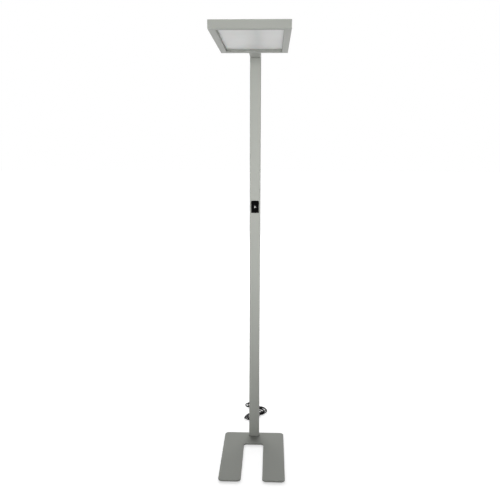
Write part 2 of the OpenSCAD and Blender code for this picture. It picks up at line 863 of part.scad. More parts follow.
// Steel plate behind the rear rail that spreads the load of the bolts
module head_bracket() {
    v0 = recess + 0.2;
    v1 = cover_v - ledge_t - 0.2;
    color("#8d9092") difference() {
        translate([-bracket_w / 2, head_y1 - rail_wall - bracket_t, head_z + v0])
            cube([bracket_w, bracket_t, v1 - v0]);
        head_bolt_set(hole_gap);
        translate([0, head_y1 - rail_wall - bracket_t - eps, head_z + cable_v]) to_y()
            cylinder(h = bracket_t + 2 * eps, r = 3.7, $fn = 48);
    }
}

module head_bolts() {
    color("#5c5f61") head_bolt_set();
}

module cable_grommet() {
    bore = cable_d / 2 + hole_gap;
    through = rail_wall + bracket_t;
    end = through + 1.2;
    color("#1d1e1f") translate([0, head_y1, head_z + cable_v]) rotate([90, 0, 0]) rotate_extrude($fn = 48)
        polygon([[bore, 0], [3.6, 0], [3.6, through], [4.2, through], [4.2, end], [bore, end]]);
}

// ---------------------------------------------------------------- free lead, hank and plug

function unit(v) = v / norm(v);
function clamp01(x) = min(1, max(0, x));

// Direction of a route at its point i
function heading(route, i) = unit(route[min(i + 1, len(route) - 1)] - route[max(i - 1, 0)]);

// Ring of n points round a route's point, upright in space
function ring(p, dir, r, n) =
    let(side = unit(cross(dir, [0, 0, 1])), up = cross(side, dir))
    [for (k = [0:n - 1]) p + r * (cos(360 * k / n) * side + sin(360 * k / n) * up)];

// Tube of n sides swept along a route; its end rings face along first and last
module tube(route, r, n, first, last) {
    m = len(route);
    dirs = [for (i = [0:m - 1]) i == 0 ? unit(first) : i == m - 1 ? unit(last) : heading(route, i)];
    points = [for (i = [0:m - 1]) each ring(route[i], dirs[i], r, n)];
    walls = [for (i = [0:m - 2], k = [0:n - 1]) let(a = i * n + k, b = i * n + (k + 1) % n)
        each [[a, a + n, b + n], [a, b + n, b]]];
    caps = [[for (k = [0:n - 1]) k], [for (k = [n - 1:-1:0]) (m - 1) * n + k]];
    polyhedron(points, concat(walls, caps), convexity = 10);
}

// Hank: u counts loops; p is the place in a loop: right run, far fold, left run, near fold
function hank_out(u) = abs(hank_turn - u);
function hank_radius(u) = hank_in + hank_step * hank_out(u);
function hank_drawn(s) = pow(cos(90 * min(1, abs(s) / hank_waist)), 2);
function hank_swell(u, s) =
    s <= 0 ? 0 : hank_bulge * hank_out(u) * (1 - cos(180 * s / (hank_far + hank_far_step * hank_out(u))));
function hank_height(u) = layer_z[0] + (layer_z[1] - layer_z[0]) * clamp01((u - hank_turn) * 4);
function hank_local(u) =
    let(
        p = u - floor(u),
        q = (p * 4) % 1,
        r = hank_radius(u),
        bulge = hank_bulge * hank_out(u),
        near = hank_near + hank_near_step * hank_out(u),
        far = hank_far + hank_far_step * hank_out(u),
        s = p < 0.25 ? (q < 0.5 ? near : far) * (2 * q - 1) : (q < 0.5 ? far : near) * (1 - 2 * q),
        w = hank_drawn(s)
    )
    p < 0.25 ? [s, -r + hank_draw * w, w] :
    p < 0.5 ? [far + (r + bulge) * cos(180 * q - 90), bulge + (r + bulge) * sin(180 * q - 90), 0] :
    p < 0.75 ? [s, r - hank_draw * w + hank_swell(u, s), w] :
    [-near + r * cos(90 + 180 * q), r * sin(90 + 180 * q), 0];

// From the hank's own axes to the route's: s along the runs, t across them
function hank_place(s, t, z) = [
    hank_c[0] + s * hank_dir[0] - t * hank_dir[1],
    hank_c[1] + s * hank_dir[1] + t * hank_dir[0],
    z
];
function hank_point(u) =
    let(l = hank_local(u))
    hank_place(l[0], l[1], hank_height(u) + (tie_t + tie_gap) * l[2]);
hank_n = round((hank_u1 - hank_u0) * hank_rings);
hank_route = [for (i = [0:hank_n]) hank_point(hank_u0 + (hank_u1 - hank_u0) * i / hank_n)];
hank_in_dir = unit(hank_route[1] - free_route[len(free_route) - 1]);
hank_out_dir = hank_place(0, 1, 0) - hank_place(0, 0, 0);

// Least gap between two loops, measured on points four to a ring
fine_n = hank_n * 4;
fine = [for (i = [0:fine_n]) hank_point(hank_u0 + (hank_u1 - hank_u0) * i / fine_n)];
apart = 52;
function nearest(i) = min([for (j = [i + apart:fine_n]) norm(fine[i] - fine[j])]);
hank_gap = min([for (i = [0:fine_n - apart]) nearest(i)]) - lead_d;

function route_length(r, i = 1) = i >= len(r) ? 0 : norm(r[i] - r[i - 1]) + route_length(r, i + 1);

module behind_post() {
    translate([0, rear_y, 0]) children();
}

module mains_lead() {
    route = concat(free_route, [hank_route[0]]);
    color("#1b1c1d") behind_post() tube(route, lead_d / 2, 8, [0, 1, 0], hank_in_dir);
}

module lead_hank() {
    echo(least_gap_in_hank = hank_gap, hank_length = route_length(hank_route));
    echo(hank_starts = hank_route[0], hank_ends = hank_route[len(hank_route) - 1]);
    echo(free_length = route_length(free_route), tail_length = route_length(tail_route));
    color("#1b1c1d") behind_post() tube(hank_route, lead_d / 2, 6, hank_in_dir, hank_out_dir);
}

module lead_tail() {
    route = concat([hank_route[len(hank_route) - 1]], tail_route);
    color("#1b1c1d") behind_post() tube(route, lead_d / 2, 8, hank_out_dir, [0, 1, 0]);
}

// Strap round the middle of the hank, its loose end lying along the top and over the near fold
module hank_tie() {
    near = -29.7;
    far = 26.5;
    low = 0.05;
    high = layer_z[1] + lead_d / 2 + tie_t + 2 * tie_gap;
    tail_t = 1;
    tail_w = 8;
    tail_at = -2;
    tail_turn = 20;
    fold_top = layer_z[1] + lead_d / 2 + tie_gap;
    turn = atan2(hank_dir[1], hank_dir[0]);
    middle = [(near + far) / 2, (low + high + tie_t) / 2];
    color("#3b3d3e") behind_post() translate([hank_c[0], hank_c[1], 0]) rotate([0, 0, turn]) {
        rotate([90, 0, 90]) linear_extrude(tie_w, center = true) translate(middle) difference() {
            round_rect(far - near + 2 * tie_t, high - low + tie_t, 4);
            round_rect(far - near, high - low - tie_t, 2);
        }
        translate([0, tail_at, 0]) rotate([90, 0, -tail_turn]) linear_extrude(tail_w, center = true) polygon([
            [-2, high + 0.15], [-2, high + tie_t - 0.1], [-40, fold_top + 1.9 + tail_t], [-70.2, fold_top + tail_t],
            [-74.1, 10.8], [-75.8, 6.6], [-77, 3], [-79, 1.4], [-79, 0.4], [-76.6, 0.6], [-75.8, 3],
            [-74.7, 6.5], [-73.2, 10.3], [-69.8, fold_top], [-40, fold_top + 1.9], [-6, high + 0.15]
        ]);
    }
}

// Tapered boot of the plug, ribbed like the gland's
module plug_boot() {
    boot_radius = function(a) 4.2 + 3 * a / plug_boot_l;
    color("#1b1c1d") behind_post() translate([plug_x, plug_y0, plug_h]) to_y() rotate_extrude($fn = 48)
        polygon(concat(
            [[0, 0], [boot_radius(0), 0]],
            boot_grooves(3, boot_radius),
            [[boot_radius(plug_boot_l), plug_boot_l], [0, plug_boot_l]]
        ));
}

// Plug: waisted grip, then the round head with side flats for the earth contacts
module plug_body() {
    grip_y = plug_y0 + plug_boot_l;
    total = plug_grip_l + plug_head_l;
    flat = 15.2;                    // of the slots and flats, from the plug's middle
    deep = 4;
    earth_w = 6.4;
    flat_w = 9;
    color("#1b1c1d") behind_post() translate([plug_x, grip_y, plug_h]) difference() {
        to_y() rotate_extrude($fn = 64) polygon([
            [0, 0], [9, 0], [11, 1], [12.4, 4], [13, 9], [13.6, 14], [16, 18], [18, plug_grip_l],
            [18.4, plug_grip_l + 1.2], [18.4, total - 1], [17.6, total], [0, total]
        ]);
        for (s = [-1, 1]) {
            translate([-earth_w / 2, plug_grip_l + 2, s * (flat + deep / 2) - deep / 2])
                cube([earth_w, plug_head_l, deep]);
            translate([s * (flat + deep / 2) - deep / 2, plug_grip_l + 5, -flat_w / 2])
                cube([deep, plug_head_l, flat_w]);
        }
    }
}

module plug_pins() {
    base_y = plug_y0 + plug_boot_l + plug_grip_l + plug_head_l;
    color("#c9ccce") behind_post() for (s = [-1, 1]) {
        translate([plug_x + s * pin_x, base_y, plug_h]) to_y() {
            cylinder(h = pin_l - pin_r, r = pin_r, $fn = 32);
            translate([0, 0, pin_l - pin_r]) rotate_extrude($fn = 32) intersection() {
                circle(pin_r, $fn = 32);
                square(pin_r + eps);
            }
        }
    }
}

// Sprung earth strips in the slots above and below
module plug_earth() {
    base_y = plug_y0 + plug_boot_l + plug_grip_l + 2;
    size = [4.8, plug_head_l - 3, 1.2];
    color("#c9ccce") behind_post() for (s = [-1, 1]) {
        translate([plug_x - size[0] / 2, base_y, plug_h + s * 15.8 - size[2] / 2]) cube(size);
    }
}

base_plate();
base_pads();
post_gasket();
foot_insert();
foot_bolts();
post();
arm();
elbow_bracket();
arm_end_block();
tube_screws();
lead_gland();
inner_lead();
led_driver();
head_cable();
control_cable();
control_housing();
control_faceplate();
module_screws();
control_board();
key_dome();
dim_key();
rail_front();
rail_rear();
rail_left();
rail_right();
corner_keys();
corner_screws();
diffuser();
light_guide();
reflector_sheet();
led_strips();
led_tray();
tray_screws();
up_led_boards();
upper_diffuser();
top_cover();
cover_screws();
terminal_block();
head_bracket();
head_bolts();
cable_grommet();
mains_lead();
lead_hank();
lead_tail();
hank_tie();
plug_boot();
plug_body();
plug_pins();
plug_earth();
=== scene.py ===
import math

import bmesh
import bpy
from mathutils import Matrix, Vector


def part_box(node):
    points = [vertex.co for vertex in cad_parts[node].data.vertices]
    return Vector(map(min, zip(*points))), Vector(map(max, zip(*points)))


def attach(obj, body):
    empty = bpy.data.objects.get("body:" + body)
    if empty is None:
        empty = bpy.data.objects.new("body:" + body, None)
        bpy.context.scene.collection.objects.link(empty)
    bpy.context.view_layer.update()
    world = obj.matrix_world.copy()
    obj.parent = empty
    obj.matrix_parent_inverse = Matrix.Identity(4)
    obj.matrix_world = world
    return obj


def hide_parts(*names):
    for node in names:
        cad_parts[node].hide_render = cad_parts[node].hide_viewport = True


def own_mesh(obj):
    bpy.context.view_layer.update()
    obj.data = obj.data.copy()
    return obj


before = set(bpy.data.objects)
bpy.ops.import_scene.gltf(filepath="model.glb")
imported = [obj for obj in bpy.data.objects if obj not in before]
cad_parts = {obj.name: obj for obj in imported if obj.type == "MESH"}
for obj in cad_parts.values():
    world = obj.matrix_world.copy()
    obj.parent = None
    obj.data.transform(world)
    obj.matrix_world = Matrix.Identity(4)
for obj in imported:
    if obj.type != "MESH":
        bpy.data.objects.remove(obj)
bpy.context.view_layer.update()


# ---------------------------------------------------------------- camera
# The photograph was taken from three metres in front of the post, at about the height of a
# standing person's eyes, looking a little down. Its frame is square.
picture_width = 500
focal_length = 620
camera_at = Vector((0.0844, -2.6704, 1.5268))
camera_pitch = 0.1718
camera_yaw = 0.0357
camera_roll = 0.0024

lens = bpy.data.cameras.new("camera")
lens.sensor_width = 36
lens.lens = lens.sensor_width * focal_length / picture_width
camera = bpy.data.objects.new("camera", lens)
bpy.context.scene.collection.objects.link(camera)
bpy.context.scene.camera = camera
level = Vector((math.cos(camera_yaw), math.sin(camera_yaw), 0))
ahead = Vector((-math.sin(camera_yaw), math.cos(camera_yaw), 0))
forward = math.cos(camera_pitch) * ahead - math.sin(camera_pitch) * Vector((0, 0, 1))
upward = level.cross(forward)
right = math.cos(camera_roll) * level + math.sin(camera_roll) * upward
turned_axes = Matrix((right, right.cross(forward), -forward)).transposed().to_4x4()
camera.matrix_world = Matrix.Translation(camera_at) @ turned_axes


# ---------------------------------------------------------------- mains lead
# A black round PVC lead leaves the post low at the back, lies tied in a hank behind the post,
# and ends in a moulded plug. It is one smooth curve through the route of the modelled lead.
lead_thickness = 0.006
post_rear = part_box("post")[1].y
free_route = [
    (0, 0, 0.072), (0, 0.016, 0.072), (0, 0.032, 0.072), (0, 0.044, 0.072), (0, 0.056, 0.0695),
    (0, 0.067, 0.063), (0, 0.076, 0.054), (0, 0.084, 0.0435), (0, 0.0915, 0.032),
    (0.0005, 0.0995, 0.0205), (0.001, 0.1095, 0.011), (0.002, 0.122, 0.005), (0.0035, 0.136, 0.0033),
    (0.0055, 0.151, 0.0031), (0.0074, 0.168, 0.0031), (0.0091, 0.183, 0.0031), (0.0112, 0.196, 0.0031),
    (0.0136, 0.2062, 0.0032), (0.0151, 0.2155, 0.0036)
]
tail_route = [
    (0.0319, 0.3365, 0.0096), (0.0245, 0.3386, 0.0096), (0.016, 0.3394, 0.0096),
    (0.007, 0.3398, 0.0096), (-0.002, 0.341, 0.0096), (-0.01, 0.3432, 0.0082),
    (-0.0175, 0.3453, 0.0058), (-0.024, 0.3466, 0.0039), (-0.0305, 0.347, 0.0031),
    (-0.0419, 0.3494, 0.0031), (-0.0519, 0.3561, 0.0031), (-0.0586, 0.3661, 0.0031),
    (-0.061, 0.378, 0.0031), (-0.0586, 0.3899, 0.0031), (-0.0519, 0.3999, 0.0031),
    (-0.0419, 0.4066, 0.0031), (-0.03, 0.409, 0.0031), (-0.0225, 0.409, 0.0031),
    (-0.0154, 0.409, 0.0031), (-0.0049, 0.4069, 0.0031), (0.0039, 0.401, 0.0031),
    (0.0099, 0.3921, 0.0031), (0.012, 0.3817, 0.0031), (0.0099, 0.3712, 0.0031),
    (0.0039, 0.3623, 0.0031), (-0.0049, 0.3564, 0.0031), (-0.0154, 0.3543, 0.0031),
    (-0.0243, 0.3543, 0.0031), (-0.0334, 0.3561, 0.0031), (-0.0411, 0.3612, 0.0031),
    (-0.0462, 0.3689, 0.0031), (-0.048, 0.378, 0.0031), (-0.0462, 0.3871, 0.0035),
    (-0.0411, 0.3948, 0.0044), (-0.0324, 0.4003, 0.0059), (-0.0244, 0.4032, 0.0076),
    (-0.017, 0.4073, 0.0098), (-0.0111, 0.4134, 0.0125), (-0.0073, 0.4211, 0.0153),
    (-0.006, 0.4295, 0.0175), (-0.006, 0.4365, 0.0184), (-0.006, 0.443, 0.0185)
]

# The hank spirals in on the floor and out again on top. Runs and round folds alternate; the strap
# draws the runs in at the middle, and the folds of the far end lie loose.
hank_middle = (-0.0028, 0.249)
hank_along = (0.5, math.sqrt(0.75))
hank_near = 0.038
hank_near_step = 0.004
hank_far = 0.036
hank_far_step = 0.009
hank_fold = 0.018
hank_step = 0.008
hank_bulge = 0.004
hank_draw = 0.012
hank_waist = 0.036
hank_turn = 2.5
hank_start = 0.09375
hank_end = 4.375
hank_points = 32
hank_layers = (0.0031, 0.0097)
hank_rise = 0.0015


def hank_place(along, across, height):
    """A place in the hank: along its runs and across them from its middle, behind the post."""
    return (
        hank_middle[0] + along * hank_along[0] - across * hank_along[1],
        hank_middle[1] + along * hank_along[1] + across * hank_along[0],
        height,
    )


def hank_point(loops):
    """The lead's place after so many loops: right run, far fold, left run, near fold."""
    side, share = divmod(4 * (loops % 1), 1)
    out = abs(hank_turn - loops)
    fold = hank_fold + hank_step * out
    near = hank_near + hank_near_step * out
    far = hank_far + hank_far_step * out
    bulge = hank_bulge * out
    climb = min(1, max(0, (loops - hank_turn) * 4))
    height = hank_layers[0] + (hank_layers[1] - hank_layers[0]) * climb
    angle = math.pi * (share - 0.5)
    if side == 1:
        wide = fold + bulge
        return hank_place(far + wide * math.cos(angle), bulge + wide * math.sin(angle), height)
    if side == 3:
        return hank_place(-near - fold * math.cos(angle), -fold * math.sin(angle), height)
    along = (side - 1) * (1 - 2 * share)
    along *= far if along > 0 else near
    waist = math.cos(math.pi / 2 * min(1, abs(along) / hank_waist)) ** 2
    swell = side / 2 * bulge * (1 - math.cos(math.pi * max(0, along) / far))
    return hank_place(along, (side - 1) * (fold - hank_draw * waist) + swell, height + hank_rise * waist)


hank_count = round((hank_end - hank_start) * hank_points)
hank_route = [hank_point(hank_start + i / hank_points) for i in range(hank_count + 1)]
route = [Vector(place) + Vector((0, post_rear, 0)) for place in free_route + hank_route + tail_route]

lead_line = bpy.data.curves.new("mains_flex", "CURVE")
lead_line.dimensions = "3D"
lead_line.bevel_depth = lead_thickness / 2
lead_line.bevel_resolution = 4
lead_line.use_fill_caps = True
strand = lead_line.splines.new("BEZIER")
strand.bezier_points.add(len(route) - 1)
strand.resolution_u = 5
for knot, place in zip(strand.bezier_points, route):
    knot.co = place
    knot.handle_left_type = "AUTO"
    knot.handle_right_type = "AUTO"
flex = bpy.data.objects.new("mains_flex", lead_line)
bpy.context.scene.collection.objects.link(flex)


class Value:
    """A shader value that arithmetic works on: each operator adds a Math node."""

    def __init__(self, finish, socket):
        self.finish = finish
        self.socket = socket

    def math(self, operation, *values):
        return self.finish.node("ShaderNodeMath", {"operation": operation}, values)

    def __add__(self, other):
        return self.math("ADD", self, other)

    def __sub__(self, other):
        return self.math("SUBTRACT", self, other)

    def __rsub__(self, other):
        return self.math("SUBTRACT", other, self)

    def __mul__(self, other):
        return self.math("MULTIPLY", self, other)

    __radd__ = __add__
    __rmul__ = __mul__

    def ramp(self, low, high):
        """0 below low, 1 above high, and smooth between them."""
        smooth = {"interpolation_type": "SMOOTHSTEP"}
        return self.finish.node("ShaderNodeMapRange", smooth, (self, low, high, 0.0, 1.0))


class Finish:
    """One material. Every node comes from node(), and patterns read the piece's own coordinates."""

    def __init__(self, name, constants):
        self.material = bpy.data.materials.new(name)
        self.material.use_nodes = True
        self.tree = self.material.node_tree
        self.shader = self.tree.nodes["Principled BSDF"]
        self.place = None
        for socket, value in constants.items():
            self.set(socket, value)

    @property
    def here(self):
        self.place = self.place or self.node("ShaderNodeTexCoord", output="Object")
        return self.place

    def node(self, kind, settings=None, inputs=(), output=0):
        made = self.tree.nodes.new(kind)
        for name, value in (settings or {}).items():
            setattr(made, name, value)
        pairs = inputs.items() if isinstance(inputs, dict) else enumerate(inputs)
        for key, value in pairs:
            self.plug(made.inputs[key], value)
        return Value(self, made.outputs[output])

    def plug(self, socket, value):
        if isinstance(value, Value):
            self.tree.links.new(value.socket, socket)
        else:
            socket.default_value = value

    def set(self, name, value):
        self.plug(self.shader.inputs[name], value)

    def stretched(self, scale):
        return self.node("ShaderNodeMapping", None, {"Vector": self.here, "Scale": scale})

    def noise(self, scale, detail=2.0, where=None):
        where = where or self.here
        return self.node("ShaderNodeTexNoise", None, {"Vector": where, "Scale": scale, "Detail": detail})

    def mix(self, share, first, second):
        return self.node("ShaderNodeMix", {"data_type": "RGBA"}, {0: share, 6: first, 7: second}, output=2)

    def relief(self, height, depth):
        self.set("Normal", self.node("ShaderNodeBump", None, {"Height": height, "Distance": depth}))

    def on(self, *pieces):
        for piece in pieces:
            piece.data.materials.clear()
            piece.data.materials.append(self.material)


def black_plastic(name, roughness, grain_size, grain_depth):
    """Black moulded plastic or rubber: fine skin of little shine, dull patches, a trace of dust."""
    finish = Finish(name, {"IOR": 1.49, "Specular IOR Level": 0.09})
    grain = finish.noise(1 / grain_size, 3.0)
    patches = finish.noise(38.0, 3.0)
    dust = finish.noise(310.0, 4.0).ramp(0.6, 0.8) * patches.ramp(0.42, 0.66)
    finish.set("Base Color", finish.mix(0.3 * dust, (0.0045, 0.0045, 0.005, 1), (0.06, 0.058, 0.055, 1)))
    finish.set("Roughness", roughness + 0.1 * (patches - 0.5) + 0.25 * dust)
    finish.relief(grain, grain_depth)
    return finish


black_plastic("lead_jacket", 0.4, 0.0009, 0.00003).on(flex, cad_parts["inner_lead"])
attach(flex, "lamp")
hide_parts("mains_lead", "lead_hank", "lead_tail")


# ---------------------------------------------------------------- plug
# Moulded plug on the lead's end: a ribbed boot, a waisted grip and a round head with two pins.
# The head has slots for the sprung earth strips above and below, and a flat on each side.
boot_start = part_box("plug_boot")[0].y
boot_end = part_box("plug_boot")[1].y
head_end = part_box("plug_body")[1].y
plug_low, plug_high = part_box("plug_body")
plug_x = (plug_low.x + plug_high.x) / 2
plug_z = (plug_low.z + plug_high.z) / 2
boot_radii = (0.0042, 0.0072)
rib_count = 5
rib_pitch = 0.0046
rib_depth = 0.0008


def pick(kind, test):
    """Selects only the faces, edges or corners of the mesh in edit mode that pass the test."""
    mesh = bmesh.from_edit_mesh(bpy.context.edit_object.data)
    bpy.ops.mesh.select_mode(type=kind)
    bpy.ops.mesh.select_all(action="DESELECT")
    for part in {"FACE": mesh.faces, "EDGE": mesh.edges, "VERT": mesh.verts}[kind]:
        part.select_set(test(part))
    mesh.select_flush_mode()
    bmesh.update_edit_mesh(bpy.context.edit_object.data)


def finished(name, angle=32):
    """Leaves edit mode, names the piece and smooths what bends by less than the angle."""
    bpy.ops.object.mode_set(mode="OBJECT")
    piece = bpy.context.object
    piece.name = name
    piece.data.name = name
    bpy.ops.object.transform_apply(location=True, rotation=True, scale=True)
    bpy.ops.object.shade_smooth_by_angle(angle=math.radians(angle))
    return piece


def started(place):
    """Begins a new mesh in edit mode, with one corner at the place and nothing else."""
    bpy.ops.object.select_all(action="DESELECT")
    bpy.ops.mesh.primitive_plane_add(size=0.001, location=(0, 0, 0))
    bpy.ops.object.mode_set(mode="EDIT")
    bpy.ops.mesh.select_mode(type="VERT")
    bpy.ops.mesh.select_all(action="SELECT")
    bpy.ops.mesh.merge(type="CENTER")
    bpy.ops.transform.translate(value=place)


def drawn(points):
    """Extrudes what is selected from one point to the next."""
    for here, there in zip(points, points[1:]):
        bpy.ops.mesh.extrude_region_move(TRANSFORM_OT_translate={"value": there - here})


def turned(name, start, profile, steps=64, along=Vector((0, 1, 0))):
    """A piece turned round a line from start; its profile is (distance along, radius) points."""
    outward = Vector((0, 0, 1)) if along.z == 0 else Vector((1, 0, 0))
    places = [start + a * along + r * outward for a, r in profile]
    started(places[0])
    drawn(places)
    bpy.ops.mesh.select_all(action="SELECT")
    bpy.ops.mesh.spin(steps=steps, angle=2 * math.pi, center=start, axis=along)
    bpy.ops.mesh.select_all(action="SELECT")
    bpy.ops.mesh.remove_doubles(threshold=0.000005)
    bpy.ops.mesh.normals_make_consistent(inside=False)
    return finished(name)


def ribs(first, radius):
    """Rounded grooves of a moulded boot, as points of its profile."""
    points = []
    for i in range(rib_count):
        groove = first + i * rib_pitch
        for share, depth in (
            (0, 0), (0.12, 0.55), (0.22, 0.95), (0.5, 1), (0.78, 0.95), (0.88, 0.55), (1, 0)
        ):
            at = groove + share * rib_pitch / 2
            points.append((at, radius(at) - depth * rib_depth))
    return points


def boot_radius(at):
    """The plug boot's radius at a distance from its thin end."""
    return boot_radii[0] + (boot_radii[1] - boot_radii[0]) * at / (boot_end - boot_start)


boot = turned(
    "plug_sleeve",
    Vector((plug_x, boot_start, plug_z)),
    [(0, 0), (0, 0.0039), (0.0003, boot_radii[0])]
    + ribs(0.003, boot_radius)
    + [(boot_end - boot_start, boot_radii[1]), (boot_end - boot_start, 0)],
)
grip_length = 0.02
head_radius = plug_high.x - plug_x
grip = [
    (0, 0), (0, 0.0084), (0.0003, 0.0092), (0.0012, 0.011), (0.004, 0.0124), (0.009, 0.013),
    (0.012, 0.0133), (0.0145, 0.0138), (0.0168, 0.0152), (0.0185, 0.0168), (0.0195, 0.0178),
    (grip_length, 0.0181), (grip_length + 0.0012, head_radius)
]
head_length = head_end - boot_end
crown = [(head_length - 0.0012, head_radius), (head_length - 0.0004, head_radius - 0.0003)]
crown += [(head_length, head_radius - 0.001), (head_length, 0.0165), (head_length - 0.0004, 0.016)]
crown += [(head_length - 0.0004, 0)]
plug = turned("plug_shell", Vector((plug_x, boot_end, plug_z)), grip + crown, steps=96)


def cut_box(piece, low, high):
    """Cuts a box out of a piece."""
    bpy.ops.object.select_all(action="DESELECT")
    bpy.ops.mesh.primitive_cube_add(size=1, location=(low + high) / 2, scale=high - low)
    cutter = bpy.context.object
    bpy.context.view_layer.objects.active = piece
    saw = piece.modifiers.new("cut", "BOOLEAN")
    saw.object = cutter
    saw.solver = "EXACT"
    bpy.ops.object.modifier_apply(modifier=saw.name)
    bpy.data.objects.remove(cutter)


cut_from = 0.0152
cut_depth = 0.004
past_end = 0.001
earth_half = 0.0032
earth_start = 0.002
flat_half = 0.0045
flat_start = 0.005
head_start = boot_end + grip_length
for side in (-1, 1):
    middle = side * (cut_from + cut_depth / 2)
    cut_box(
        plug,
        Vector((plug_x - earth_half, head_start + earth_start, plug_z + middle - cut_depth / 2)),
        Vector((plug_x + earth_half, head_end + past_end, plug_z + middle + cut_depth / 2)),
    )
    cut_box(
        plug,
        Vector((plug_x + middle - cut_depth / 2, head_start + flat_start, plug_z - flat_half)),
        Vector((plug_x + middle + cut_depth / 2, head_end + past_end, plug_z + flat_half)),
    )
bpy.ops.object.select_all(action="DESELECT")
plug.select_set(True)
bpy.ops.object.shade_smooth_by_angle(angle=math.radians(32))


def bright_metal(name, colour, roughness, lines):
    """Plated or milled metal: fine drawn lines along Y and slightly uneven gloss."""
    finish = Finish(name, {"Metallic": 1.0})
    scratches = finish.noise(lines, 2.0, finish.stretched((1, 0.04, 1)))
    clouds = finish.noise(60.0, 3.0)
    dark = tuple(0.78 * c for c in colour)
    finish.set("Base Color", finish.mix(0.5 * clouds + 0.3 * scratches, (*colour, 1), (*dark, 1)))
    finish.set("Roughness", roughness + 0.12 * scratches + 0.1 * (clouds - 0.5))
    finish.relief(scratches, 0.000008)
    return finish


black_plastic("plug_moulding", 0.36, 0.0007, 0.00004).on(boot, plug)
bright_metal("plug_plating", (0.66, 0.65, 0.62), 0.16, 2400.0).on(
    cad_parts["plug_pins"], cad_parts["plug_earth"]
)
for piece, node in ((boot, "plug_boot"), (plug, "plug_body")):
    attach(piece, "lamp")
    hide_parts(node)


# ---------------------------------------------------------------- strap of the hank
# A dark woven hook-and-loop strap goes round the middle of the hank. Its loose end runs aslant
# along the top, bends over the near fold and touches the floor. It is cut from flat tape.
strap_width = 0.01
strap_thickness = 0.0011
strap_low = 0.0007
strap_high = 0.01505
strap_sides = (-0.0294, 0.0258)
strap_corner = 0.0032
corner_points = 6
end_width = 0.008
end_thickness = 0.0008
end_root = (0, -0.002)
end_turn = math.radians(20)
end_line = [
    (-0.004, 0.0152), (-0.016, 0.01515), (-0.03, 0.0151), (-0.042, 0.0149), (-0.052, 0.0144),
    (-0.061, 0.0138), (-0.067, 0.01345), (-0.0702, 0.0129), (-0.0724, 0.0116), (-0.0738, 0.0099),
    (-0.0751, 0.0068), (-0.0762, 0.0036), (-0.0775, 0.0014), (-0.0788, 0.0009)
]


def strap_point(along, across, height):
    """The same place in the hank, as a point in the frame."""
    return Vector(hank_place(along, across, height)) + Vector((0, post_rear, 0))


def ribbon(name, points, across, thickness):
    """A flat tape drawn through the points, as wide as the vector across."""
    started(points[0] - across / 2)
    drawn([points[0] - across / 2, points[0] + across / 2])
    bpy.ops.mesh.select_all(action="SELECT")
    drawn(points)
    bpy.ops.mesh.select_all(action="SELECT")
    bpy.ops.mesh.remove_doubles(threshold=0.00001)
    bpy.ops.mesh.normals_make_consistent(inside=False)
    bpy.ops.object.mode_set(mode="OBJECT")
    tape = bpy.context.object
    wall = tape.modifiers.new("thickness", "SOLIDIFY")
    wall.thickness = thickness
    wall.offset = 0
    bpy.ops.object.modifier_apply(modifier=wall.name)
    edge = tape.modifiers.new("selvedge", "BEVEL")
    edge.width = thickness * 0.3
    edge.segments = 2
    edge.limit_method = "ANGLE"
    edge.angle_limit = math.radians(60)
    bpy.ops.object.modifier_apply(modifier=edge.name)
    return finished(name, 40)


band = []
for across, height, first in (
    (strap_sides[1] - strap_corner, strap_high - strap_corner, 0),
    (strap_sides[0] + strap_corner, strap_high - strap_corner, 90),
    (strap_sides[0] + strap_corner, strap_low + strap_corner, 180),
    (strap_sides[1] - strap_corner, strap_low + strap_corner, 270),
):
    for i in range(corner_points):
        angle = math.radians(first + 90 * i / (corner_points - 1))
        band.append(strap_point(
            0, across + strap_corner * math.cos(angle), height + strap_corner * math.sin(angle)
        ))
strap = ribbon(
    "strap_band",
    band + band[:1],
    strap_point(strap_width, 0, 0) - strap_point(0, 0, 0),
    strap_thickness,
)


def end_point(along, across, height):
    """A place on the loose end, which is turned away from the runs."""
    return strap_point(
        end_root[0] + along * math.cos(end_turn) + across * math.sin(end_turn),
        end_root[1] - along * math.sin(end_turn) + across * math.cos(end_turn),
        height,
    )


loose = ribbon(
    "strap_end",
    [end_point(along, 0, height) for along, height in end_line],
    end_point(0, end_width, 0) - end_point(0, 0, 0),
    end_thickness,
)


def woven_tape(name):
    """Woven tape: crossed ribs 0.6 mm apart, fuzz, and lighter threads where it is worn."""
    finish = Finish(name, {"Sheen Weight": 0.25, "Sheen Roughness": 0.5, "IOR": 1.45})
    turn = -math.atan2(hank_along[1], hank_along[0])
    lying = finish.node("ShaderNodeMapping", None, {"Vector": finish.here, "Rotation": (0, 0, turn)})
    weave = 1
    for direction in "XY":
        bands = finish.node(
            "ShaderNodeTexWave",
            {"bands_direction": direction},
            {"Vector": lying, "Scale": 520.0, "Distortion": 0.6},
            1,
        )
        weave = bands * weave
    fuzz = finish.noise(2600.0, 3.0)
    worn = finish.noise(160.0, 3.0).ramp(0.5, 0.72)
    finish.set("Base Color", finish.mix(
        0.45 * weave + 0.3 * fuzz + 0.25 * worn, (0.026, 0.027, 0.029, 1), (0.12, 0.122, 0.126, 1)
    ))
    finish.set("Roughness", 0.82 + 0.12 * fuzz)
    finish.relief(weave + 0.5 * fuzz, 0.00018)
    return finish


woven_tape("strap_tape").on(strap, loose)
for piece in (strap, loose):
    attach(piece, "lamp")
    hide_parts("hank_tie")


# ---------------------------------------------------------------- gland
# Moulded black gland where the lead leaves the post: a flange on the rear wall and a tapered
# boot with five grooves, which keeps the lead from bending sharply at the wall.
gland_low, gland_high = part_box("lead_gland")
gland_at = Vector((0, post_rear, (gland_low.z + gland_high.z) / 2))
gland_bore = lead_thickness / 2 + 0.0001
gland_flange = (gland_high.x - gland_low.x) / 2
gland_start = gland_low.y - post_rear
gland_end = gland_high.y - post_rear
gland_boot_start = 0.0025
gland_boot_radius = 0.0066
gland_boot_taper = 0.0024


